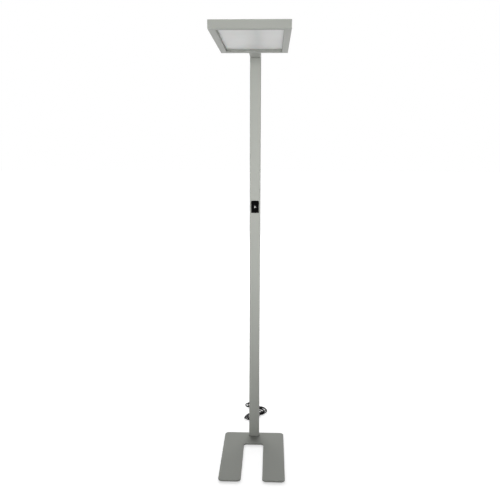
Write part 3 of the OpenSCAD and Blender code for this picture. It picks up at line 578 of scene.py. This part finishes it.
def gland_radius(at):
    """The gland boot's radius at a distance from the post's rear wall."""
    share = (at - gland_boot_start) / (gland_end - gland_boot_start)
    return gland_boot_radius - gland_boot_taper * share


gland_outline = [
    (gland_start, gland_bore), (gland_start, 0.0077), (gland_start + 0.0003, 0.008),
    (-0.0026, 0.008), (-0.0026, 0.0064), (0, 0.0064), (0, gland_flange), (0.0011, gland_flange),
    (0.0016, gland_flange - 0.0004), (0.0018, gland_flange - 0.001), (0.0021, 0.0078),
    (0.0024, 0.0071), (0.0032, 0.0067)
]
gland_outline += ribs(0.0075, gland_radius)
gland_outline += [
    (gland_end - 0.0004, gland_radius(gland_end)), (gland_end, gland_radius(gland_end) - 0.0004),
    (gland_end, gland_bore), (gland_start, gland_bore)
]
gland = turned("lead_inlet", gland_at, gland_outline)
black_plastic("gland_moulding", 0.46, 0.0008, 0.00004).on(gland)
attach(gland, "lamp")
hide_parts("lead_gland")


# ---------------------------------------------------------------- foot
# A fork cut from 8 mm steel plate, its edges broken, powder coated light grey. It stands on
# black rubber discs. A thin rubber gasket lies between it and the post.
plate_low, plate_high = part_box("base_plate")
slot_half = 0.049
slot_length = 0.353
slot_back = plate_low.y + slot_length
plate_corner = 0.02
slot_corner = 0.014
broken_edge = 0.0011
same_place = 0.0001

bpy.ops.object.select_all(action="DESELECT")
bpy.ops.mesh.primitive_plane_add(size=1, location=(0, (plate_low.y + plate_high.y) / 2, plate_high.z))
bpy.context.object.scale = (plate_high.x - plate_low.x, plate_high.y - plate_low.y, 1)
bpy.ops.object.transform_apply(location=True, rotation=True, scale=True)
bpy.ops.object.mode_set(mode="EDIT")
for place, normal in (
    ((-slot_half, 0, 0), (1, 0, 0)), ((slot_half, 0, 0), (1, 0, 0)), ((0, slot_back, 0), (0, 1, 0))
):
    bpy.ops.mesh.select_all(action="SELECT")
    bpy.ops.mesh.bisect(plane_co=place, plane_no=normal)


def in_slot(face):
    """A face of the plate's plane that the slot takes away."""
    middle = face.calc_center_median()
    return abs(middle.x) < slot_half and middle.y < slot_back


pick("FACE", in_slot)
bpy.ops.mesh.delete(type="FACE")
bpy.ops.mesh.select_all(action="SELECT")
bpy.ops.mesh.dissolve_limited(angle_limit=math.radians(1))
bpy.ops.mesh.select_all(action="SELECT")
bpy.ops.mesh.extrude_region_move(TRANSFORM_OT_translate={"value": (0, 0, plate_low.z - plate_high.z)})
bpy.ops.mesh.select_all(action="SELECT")
bpy.ops.mesh.normals_make_consistent(inside=False)


def upright_at(across, depth):
    """A test for upright edges at a distance from the middle plane and at a depth."""
    def test(edge):
        a, b = (corner.co for corner in edge.verts)
        upright = abs(a.z - b.z) > 0.001
        return upright and abs(abs(a.x) - across) < same_place and abs(a.y - depth) < same_place
    return test


for across, depth, radius in (
    (plate_high.x, plate_high.y, plate_corner),
    (plate_high.x, plate_low.y, plate_corner),
    (slot_half, plate_low.y, plate_corner),
    (slot_half, slot_back, slot_corner),
):
    pick("EDGE", upright_at(across, depth))
    bpy.ops.mesh.bevel(offset=radius, segments=14, affect="EDGES")


def rim_edge(edge):
    """An edge between the plate's flat faces and its sides."""
    flat = [abs(face.normal.z) > 0.9 for face in edge.link_faces]
    return True in flat and False in flat


def mark_worn():
    """Gives the corners inside the bevel just made 1 in the attribute worn, and the others 0."""
    mesh = bmesh.from_edit_mesh(bpy.context.edit_object.data)
    layer = mesh.verts.layers.float.get("worn") or mesh.verts.layers.float.new("worn")
    for corner in mesh.verts:
        if corner.select and all(face.select and len(face.verts) == 4 for face in corner.link_faces):
            corner[layer] = 1
    bmesh.update_edit_mesh(bpy.context.edit_object.data)


pick("EDGE", rim_edge)
bpy.ops.mesh.bevel(offset=broken_edge, segments=4, affect="EDGES")
mark_worn()
foot = finished("foot_plate", 40)


def evened(piece):
    """Turns the shading of broken edges towards the large faces beside them, which then look flat."""
    even = piece.modifiers.new("even", "WEIGHTED_NORMAL")
    even.keep_sharp = True
    even.weight = 100
    bpy.ops.object.modifier_apply(modifier=even.name)
    return piece


evened(foot)


def powder_coat(name, tone=1.0, gloss=0.3, dusty=0.0, worn=0.0):
    """Fine powder coat: orange peel under a millimetre wide, slow tone changes, faint rub marks."""
    finish = Finish(name, {"IOR": 1.5, "Specular IOR Level": gloss})
    peel = finish.noise(1300.0, 2.0)
    grit = finish.noise(5200.0, 1.0)
    clouds = finish.noise(5.5, 4.0)
    rubs = finish.noise(26.0, 5.0, finish.stretched((1, 1, 0.3))).ramp(0.58, 0.78)
    dark = (0.363 * tone, 0.373 * tone, 0.345 * tone, 1)
    light = (0.393 * tone, 0.404 * tone, 0.375 * tone, 1)
    colour = finish.mix(0.55 * clouds + 0.25 * peel + 0.2 * grit, dark, light)
    if dusty:
        dust = finish.noise(1400.0, 4.0).ramp(0.5, 0.78) * finish.noise(9.0, 4.0).ramp(0.3, 0.75)
        colour = finish.mix(dusty * dust, colour, (0.52, 0.51, 0.48, 1))
    if worn:
        edge = finish.node("ShaderNodeAttribute", {"attribute_name": "worn"}, output="Fac")
        chips = edge * finish.noise(70.0, 4.0).ramp(0.5, 0.66)
        colour = finish.mix(worn * chips, colour, (0.5, 0.51, 0.5, 1))
    finish.set("Base Color", colour)
    finish.set("Roughness", 0.47 + 0.1 * (peel - 0.5) - 0.1 * rubs + 0.06 * (clouds - 0.5))
    finish.relief(peel + 0.35 * grit, 0.00003)
    return finish


powder_coat("foot_coat", tone=0.87, gloss=0.12, dusty=0.03, worn=0.4).on(foot)
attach(foot, "lamp")
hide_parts("base_plate")
black_plastic("pad_rubber", 0.72, 0.0006, 0.00006).on(
    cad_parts["base_pads"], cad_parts["post_gasket"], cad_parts["cable_grommet"]
)
bright_metal("block_steel", (0.45, 0.46, 0.47), 0.32, 900.0).on(
    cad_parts["foot_insert"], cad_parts["arm_end_block"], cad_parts["head_bracket"]
)
bright_metal("bolt_steel", (0.2, 0.205, 0.21), 0.36, 1500.0).on(
    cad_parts["foot_bolts"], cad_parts["head_bolts"]
)


# ---------------------------------------------------------------- post and arm
# Two lengths of one rectangular aluminium tube, cut to a mitre and joined by a cast bracket
# inside, then powder coated. Countersunk screws in the rear and top walls hold the bracket.
mitre_break = 0.0004
mitre_normal = Vector((0, -1, 1)).normalized()


def softened(name, node, width, test):
    """A copy of a modelled piece, its doubles merged and the chosen edges rounded."""
    bpy.ops.object.select_all(action="DESELECT")
    piece = bpy.data.objects.new(name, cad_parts[node].data.copy())
    bpy.context.scene.collection.objects.link(piece)
    piece.select_set(True)
    bpy.context.view_layer.objects.active = piece
    bpy.ops.object.mode_set(mode="EDIT")
    bpy.ops.mesh.select_all(action="SELECT")
    bpy.ops.mesh.remove_doubles(threshold=0.000002)
    bpy.ops.mesh.dissolve_limited(angle_limit=math.radians(0.5))
    pick("EDGE", test)
    bpy.ops.mesh.bevel(offset=width, segments=2, affect="EDGES")
    mark_worn()
    return evened(finished(name, 40))


def mitre_edge(edge):
    """An edge round the cut end of a mitred tube."""
    cut = [abs(face.normal.dot(mitre_normal)) > 0.99 for face in edge.link_faces]
    return True in cut and False in cut


post = softened("post_tube", "post", mitre_break, mitre_edge)
arm = softened("arm_tube", "arm", mitre_break, mitre_edge)
powder_coat("tube_coat", worn=0.3).on(post, arm)
for piece, node in ((post, "post"), (arm, "arm")):
    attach(piece, "lamp")
    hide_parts(node)


def raw_casting(name, colour):
    """Die-cast aluminium as it leaves the mould: matt and faintly mottled."""
    finish = Finish(name, {"Metallic": 1.0})
    mottle = finish.noise(55.0, 4.0)
    skin = finish.noise(1900.0, 3.0)
    dark = tuple(0.72 * c for c in colour)
    finish.set("Base Color", finish.mix(mottle, (*dark, 1), (*colour, 1)))
    finish.set("Roughness", 0.5 + 0.2 * (mottle - 0.5) + 0.08 * skin)
    finish.relief(skin + mottle, 0.00005)
    return finish


raw_casting("cast_aluminium", (0.5, 0.51, 0.52)).on(
    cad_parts["elbow_bracket"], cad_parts["corner_keys"]
)
bright_metal("grey_zinc", (0.21, 0.215, 0.21), 0.42, 2600.0).on(
    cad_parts["tube_screws"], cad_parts["cover_screws"]
)
bright_metal("bright_zinc", (0.56, 0.57, 0.56), 0.24, 2600.0).on(
    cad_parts["corner_screws"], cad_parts["tray_screws"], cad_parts["module_screws"]
)


# ---------------------------------------------------------------- driver and inner cables
# The driver is a slim plastic case screwed to the rear wall inside the post. White cables lead
# from it to the control module and, round the corner, to the terminal block in the panel.
def light_plastic(name, colour, roughness, grain):
    """Light moulded plastic with a fine spark-eroded skin and slight yellowing."""
    finish = Finish(name, {"IOR": 1.49})
    skin = finish.noise(grain, 3.0)
    age = finish.noise(12.0, 3.0)
    warm = (colour[0], 0.97 * colour[1], 0.9 * colour[2], 1)
    finish.set("Base Color", finish.mix(0.6 * age + 0.2 * skin, (*colour, 1), warm))
    finish.set("Roughness", roughness + 0.12 * (skin - 0.5))
    finish.relief(skin, 0.00004)
    return finish


light_plastic("driver_plastic", (0.72, 0.73, 0.7), 0.5, 1500.0).on(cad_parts["led_driver"])
light_plastic("cable_jacket", (0.76, 0.76, 0.73), 0.42, 2200.0).on(
    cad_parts["head_cable"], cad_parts["control_cable"]
)
light_plastic("terminal_polyamide", (0.8, 0.8, 0.76), 0.45, 1800.0).on(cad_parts["terminal_block"])


# ---------------------------------------------------------------- control module
# A black module set into the post: a gloss faceplate glued over a moulded housing, and a round
# push key with a painted highlight in white on it. The key's rim is held behind the faceplate.
face_low, face_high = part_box("control_faceplate")
key_low, key_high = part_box("dim_key")
key_at = Vector((0, key_low.y, (key_low.z + key_high.z) / 2))
key_length = key_high.y - key_low.y
key_radius = 0.009
key_rim = 0.0105
key_gap = 0.0003
face_corner = 0.0036
face_skin = 0.0013
face_wall = 0.00045
face_break = 0.0005

bpy.ops.object.select_all(action="DESELECT")
bpy.ops.mesh.primitive_cube_add(size=1, location=(face_low + face_high) / 2, scale=face_high - face_low)
bpy.ops.object.transform_apply(location=True, rotation=True, scale=True)
bpy.ops.object.mode_set(mode="EDIT")
pick("EDGE", lambda edge: abs(edge.verts[0].co.y - edge.verts[1].co.y) > 0.001)
bpy.ops.mesh.bevel(offset=face_corner, segments=10, affect="EDGES")
pick("EDGE", lambda edge: all(corner.co.y < face_low.y + same_place for corner in edge.verts))
bpy.ops.mesh.bevel(offset=face_break, segments=3, affect="EDGES")
pick("FACE", lambda face: face.normal.y > 0.9)
bpy.ops.mesh.inset(thickness=face_wall, depth=0)
hollow = face_low.y + face_skin - face_high.y
bpy.ops.mesh.extrude_region_move(TRANSFORM_OT_translate={"value": (0, hollow, 0)})
faceplate = finished("module_face", 35)
hole_radius = key_radius + key_gap
hole = turned(
    "key_hole",
    Vector((0, face_low.y, key_at.z)),
    [
        (-0.001, 0), (-0.001, hole_radius + 0.00125), (0.00025, hole_radius), (0.004, hole_radius),
        (0.004, 0)
    ],
    steps=96,
)


def sawn(piece, cutter, angle):
    """Cuts one piece out of another, and smooths the result."""
    bpy.ops.object.select_all(action="DESELECT")
    piece.select_set(True)
    bpy.context.view_layer.objects.active = piece
    saw = piece.modifiers.new("saw", "BOOLEAN")
    saw.object = cutter
    saw.solver = "EXACT"
    bpy.ops.object.modifier_apply(modifier=saw.name)
    bpy.data.objects.remove(cutter)
    bpy.ops.object.shade_smooth_by_angle(angle=math.radians(angle))


sawn(faceplate, hole, 35)
key = turned(
    "light_key",
    key_at,
    [
        (0.0003, 0), (0.00028, 0.004), (0.00018, 0.0068), (0.00005, 0.0078), (0, 0.0082),
        (0.0001, 0.0086), (0.0003, 0.0089), (0.0006, key_radius), (0.0022, key_radius),
        (0.0022, key_rim), (0.0036, key_rim), (0.0036, 0.003), (key_length, 0.003), (key_length, 0)
    ],
    steps=96,
)

# The painted highlight: a white dot with four slanting rays, set into the dished face of the key
painted_highlight_at = key_at + Vector((0, 0.00014, 0))
painted_highlight_depth = 0.0004
dot_radius = 0.0027
ray_near = 0.0038
ray_far = 0.0064
ray_half = 0.0005
bpy.ops.object.select_all(action="DESELECT")
bpy.ops.mesh.primitive_circle_add(
    vertices=40, radius=dot_radius, fill_type="NGON", location=painted_highlight_at, rotation=(math.pi / 2, 0, 0)
)
bpy.ops.object.transform_apply(location=True, rotation=True, scale=True)
bpy.ops.object.mode_set(mode="EDIT")
bpy.ops.mesh.select_mode(type="VERT")
for i in range(4):
    angle = math.radians(45 + 90 * i)
    ray = Vector((math.cos(angle), 0, math.sin(angle)))
    side = Vector((-ray.z, 0, ray.x))
    corner = painted_highlight_at + ray_near * ray - ray_half * side
    bpy.ops.mesh.select_all(action="DESELECT")
    bpy.ops.mesh.primitive_plane_add(size=0.001, location=(0, 0, 0))
    bpy.ops.mesh.merge(type="CENTER")
    bpy.ops.transform.translate(value=corner)
    drawn([corner, corner + 2 * ray_half * side])
    pick("VERT", lambda point: (point.co - painted_highlight_at - ray_near * ray).length < 1.1 * ray_half)
    drawn([corner, corner + (ray_far - ray_near) * ray])
bpy.ops.mesh.select_all(action="SELECT")
bpy.ops.mesh.extrude_region_move(TRANSFORM_OT_translate={"value": (0, painted_highlight_depth, 0)})
bpy.ops.mesh.select_all(action="SELECT")
bpy.ops.mesh.normals_make_consistent(inside=False)
painted_highlight = finished("key_painted_highlight", 30)


def gloss_black(name, roughness, colour=0.0015):
    """Black gloss moulding that mirrors little: hairlines, finger smears, a few specks of dust."""
    finish = Finish(name, {"IOR": 1.5, "Specular IOR Level": 0.03})
    smears = finish.noise(95.0, 4.0, finish.stretched((1, 1, 0.55))).ramp(0.45, 0.75)
    hairs = finish.noise(520.0, 2.0, finish.stretched((1, 1, 0.05))).ramp(0.62, 0.7)
    dust = finish.noise(1900.0, 2.0).ramp(0.72, 0.78)
    black = (colour, colour, colour * 1.1, 1)
    finish.set("Base Color", finish.mix(0.25 * dust + 0.012 * smears, black, (0.2, 0.2, 0.2, 1)))
    finish.set("Roughness", roughness + 0.16 * smears + 0.1 * hairs + 0.3 * dust)
    finish.relief(hairs, 0.000004)
    return finish


gloss_black("face_moulding", 0.07).on(faceplate)
gloss_black("key_moulding", 0.16, 0.0025).on(key)
# white plastic for the painted highlight on the key
light_plastic("painted_highlight_white", (0.74, 0.76, 0.76), 0.4, 3000.0).on(painted_highlight)
black_plastic("housing_moulding", 0.5, 0.0008, 0.00005).on(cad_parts["control_housing"])
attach(faceplate, "lamp")
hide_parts("control_faceplate")
for piece in (key, painted_highlight):
    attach(piece, "key")
    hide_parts("dim_key")


def circuit_board(name, mask, copper, roughness):
    """Circuit board under its solder mask, with lighter copper runs showing through."""
    finish = Finish(name, {"IOR": 1.52})
    runs = finish.node(
        "ShaderNodeTexBrick",
        {"offset": 0.37},
        {
            "Vector": finish.here, "Color1": (1, 1, 1, 1), "Color2": (0.8, 0.8, 0.8, 1),
            "Mortar": (0, 0, 0, 1), "Scale": 240.0, "Mortar Size": 0.03, "Brick Width": 1.3
        },
    )
    flux = finish.noise(420.0, 3.0)
    share = finish.mix(0.3, runs, flux)
    finish.set("Base Color", finish.mix(share, (*mask, 1), (*copper, 1)))
    finish.set("Roughness", roughness + 0.2 * (flux - 0.5))
    finish.relief(flux, 0.00003)
    return finish


circuit_board("green_mask", (0.012, 0.07, 0.03), (0.03, 0.14, 0.055), 0.3).on(
    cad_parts["control_board"]
)
circuit_board("white_mask", (0.66, 0.67, 0.65), (0.78, 0.78, 0.76), 0.35).on(
    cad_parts["led_strips"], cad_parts["up_led_boards"]
)


# The dome of soft silicone behind the key gives way under its stem and springs back. Here it is
# turned at rest, just clear of the stem, and gets a mesh of its own.
dome_low, dome_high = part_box("key_dome")
dome_length = dome_high.y - dome_low.y
dome_radius = (dome_high.x - dome_low.x) / 2
dome = turned(
    "silicone_dome",
    Vector((0, dome_low.y, key_at.z)),
    [
        (0, 0), (0, 0.0028), (0.0001, 0.0031), (0.0004, 0.0034), (0.0035, 0.006),
        (0.0035, dome_radius - 0.0002), (0.0037, dome_radius), (dome_length, dome_radius),
        (dome_length, 0.0056), (0.0016, 0.003), (0.0016, 0)
    ],
)
light_plastic("dome_silicone", (0.14, 0.145, 0.15), 0.55, 900.0).on(dome)
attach(dome, "lamp")
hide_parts("key_dome")
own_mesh(dome)


# ---------------------------------------------------------------- panel frame
# Four aluminium rails, mitred and drawn together by cast keys in their hollow feet, powder
# coated as the post is. Their outer edges are broken slightly, so the mitres show as fine lines.
panel_low, panel_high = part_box("rail_left")
recess = 0.013
rail_break = 0.0004
shortest_edge = 0.08
square_corner = 1.2


def rail_edge(edge):
    """Edges round a rail's mitred ends, and long ones round its top and the opening below."""
    cut = [abs(abs(face.normal.x) - abs(face.normal.y)) < 0.1 for face in edge.link_faces]
    flat = [abs(face.normal.z) > 0.9 for face in edge.link_faces]
    mitred = [aslant and not lying for aslant, lying in zip(cut, flat)]
    if True in mitred and False in mitred:
        return True
    a, b = (corner.co for corner in edge.verts)
    if (a - b).length < shortest_edge or len(edge.link_faces) != 2:
        return False
    if edge.calc_face_angle(0) < square_corner:
        return False
    heights = (panel_low.z, panel_low.z + recess, panel_high.z)
    return any(abs(a.z - height) < same_place for height in heights)


rails = {}
for side in ("front", "rear", "left", "right"):
    node = "rail_" + side
    rails[side] = softened("frame_" + side, node, rail_break, rail_edge)
    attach(rails[side], "lamp")
    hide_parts(node)
powder_coat("frame_coat", worn=0.3).on(*rails.values())


# ---------------------------------------------------------------- light engine
# An opal acrylic pane set back in the frame. Above it lie the clear light guide with its printed
# dots, a white reflector sheet and an aluminium tray that holds the light strips.
def opal_acrylic(name, tone):
    """Opal acrylic: satin skin, faint milky clouds and a trace of dust."""
    finish = Finish(name, {"IOR": 1.49, "Subsurface Weight": 0.15, "Subsurface Scale": 0.002})
    milk = finish.noise(9.0, 5.0)
    satin = finish.noise(2400.0, 2.0)
    dust = finish.noise(700.0, 4.0).ramp(0.6, 0.8) * finish.noise(20.0, 2.0)
    clear = tuple(tone * c for c in (0.83, 0.84, 0.83))
    deep = tuple(tone * c for c in (0.77, 0.775, 0.76))
    milky = finish.mix(milk, (*clear, 1), (*deep, 1))
    finish.set("Base Color", finish.mix(0.3 * dust, milky, (0.5, 0.49, 0.46, 1)))
    finish.set("Roughness", 0.42 + 0.12 * (satin - 0.5) + 0.1 * (milk - 0.5))
    finish.relief(satin, 0.00003)
    return finish


opal_acrylic("opal_pane", 1.0).on(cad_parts["diffuser"])
opal_acrylic("opal_window", 0.97).on(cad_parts["upper_diffuser"])


def dotted_guide(name):
    """Clear acrylic sheet with rows of small printed dots."""
    finish = Finish(name, {"IOR": 1.49, "Transmission Weight": 0.85})
    cells = finish.node(
        "ShaderNodeTexVoronoi", None, {"Vector": finish.here, "Scale": 330.0, "Randomness": 0.0}
    )
    dots = 1 - cells.ramp(0.22, 0.3)
    haze = finish.noise(150.0, 3.0)
    finish.set("Base Color", finish.mix(dots, (0.93, 0.95, 0.94, 1), (0.8, 0.8, 0.78, 1)))
    finish.set("Roughness", 0.05 + 0.5 * dots + 0.08 * haze)
    finish.relief(dots, 0.00002)
    return finish


dotted_guide("guide_acrylic").on(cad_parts["light_guide"])
light_plastic("reflector_film", (0.86, 0.87, 0.86), 0.34, 800.0).on(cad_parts["reflector_sheet"])
bright_metal("mill_aluminium", (0.6, 0.61, 0.62), 0.3, 1200.0).on(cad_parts["led_tray"])


# ---------------------------------------------------------------- top cover
# Sheet of 1.5 mm aluminium on the frame's ledge, held by small countersunk screws. An opal pane
# lies under the window in it and lets light up to the ceiling.
cover_break = 0.0003


def cover_edge(edge):
    """The upper edges of the cover, outside and round the window."""
    raised = all(corner.co.z > panel_high.z - same_place for corner in edge.verts)
    return raised and len(edge.link_faces) == 2 and edge.calc_face_angle(0) > square_corner


cover = softened("cover_sheet", "top_cover", cover_break, cover_edge)
powder_coat("cover_coat", tone=0.98, dusty=0.22, worn=0.3).on(cover)
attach(cover, "lamp")
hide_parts("top_cover")


# ---------------------------------------------------------------- floor and light
# A plain pale floor and pale surroundings. A far lamp in front lights the panel and the post, a
# low one the undersides and two weak ones the sides. A broad strong one behind throws the soft
# shadows forward. The floor glows less round the foot, so that its shadow shows.
bpy.ops.object.select_all(action="DESELECT")
bpy.ops.mesh.primitive_plane_add(size=60, location=(0, 0, 0))
floor = bpy.context.object
floor.name = "floor"
floor_finish = Finish("pale_floor", {"Roughness": 0.9, "Specular IOR Level": 0.0, "Emission Strength": 1.0})
foot_middle = plate_low.y + 0.24
near_reach = 0.45
far_reach = 1.8
near_glow = 0.55
far_glow = 0.9
ambient = 0.2
grain = floor_finish.noise(3.0, 3.0)
floor_finish.set("Base Color", floor_finish.mix(grain, (0.84, 0.84, 0.84, 1), (0.86, 0.86, 0.86, 1)))


def seen_directly(finish):
    """1 for camera, glossy and transmission rays, and 0 for the light that falls on things."""
    kinds = [
        finish.node("ShaderNodeLightPath", output=name)
        for name in ("Is Camera Ray", "Is Glossy Ray", "Is Transmission Ray")
    ]
    return kinds[0].math("MAXIMUM", kinds[0], kinds[1].math("MAXIMUM", kinds[1], kinds[2]))


from_foot = floor_finish.node(
    "ShaderNodeVectorMath", {"operation": "DISTANCE"}, (floor_finish.here, (0, foot_middle, 0)), 1
)
floor_glow = near_glow + (far_glow - near_glow) * from_foot.ramp(near_reach, far_reach)
floor_finish.set("Emission Color", floor_finish.mix(
    floor_glow * seen_directly(floor_finish), (0, 0, 0, 1), (1, 1, 1, 1)
))
floor_finish.on(floor)


class Surroundings(Finish):
    """The world's nodes, made in the same way as a material's."""

    def __init__(self, name):
        self.material = bpy.data.worlds.new(name)
        self.material.use_nodes = True
        self.tree = self.material.node_tree
        self.shader = self.tree.nodes["Background"]
        self.place = None


studio = Surroundings("studio")
studio.set("Color", (1, 1, 1, 1))
studio.set("Strength", ambient + (1 - ambient) * seen_directly(studio))
bpy.context.scene.world = studio.material


def soft_lamp(name, place, target, size, power, spread):
    """A wide lamp turned towards its target, itself unseen by the camera and in reflections."""
    lamp = bpy.data.lights.new(name, "AREA")
    lamp.shape = "RECTANGLE"
    lamp.size, lamp.size_y = size
    lamp.energy = power
    lamp.spread = math.radians(spread)
    holder = bpy.data.objects.new(name, lamp)
    holder.location = place
    holder.rotation_euler = (Vector(target) - Vector(place)).to_track_quat("-Z", "Y").to_euler()
    holder.visible_camera = False
    holder.visible_glossy = False
    bpy.context.scene.collection.objects.link(holder)


soft_lamp("front_lamp", (0, -9, 1.6), (0, 0.36, 1.3), (2, 1.5), 10.8, 18)
soft_lamp("low_lamp", (0, -2.2, 0.15), (0, -0.1, 1.93), (1.6, 0.8), 1.2, 50)
soft_lamp("left_lamp", (-4, -2, 1.6), (0, 0.2, 1.2), (1.5, 2.5), 1.0, 60)
soft_lamp("right_lamp", (4, -2, 1.6), (0, 0.2, 1.2), (1.5, 2.5), 0.8, 60)
soft_lamp("back_lamp", (-0.8, 8, 4.0), (0, 0.2, 0.6), (12, 4.4), 330, 100)
bpy.context.scene.view_settings.view_transform = "Standard"
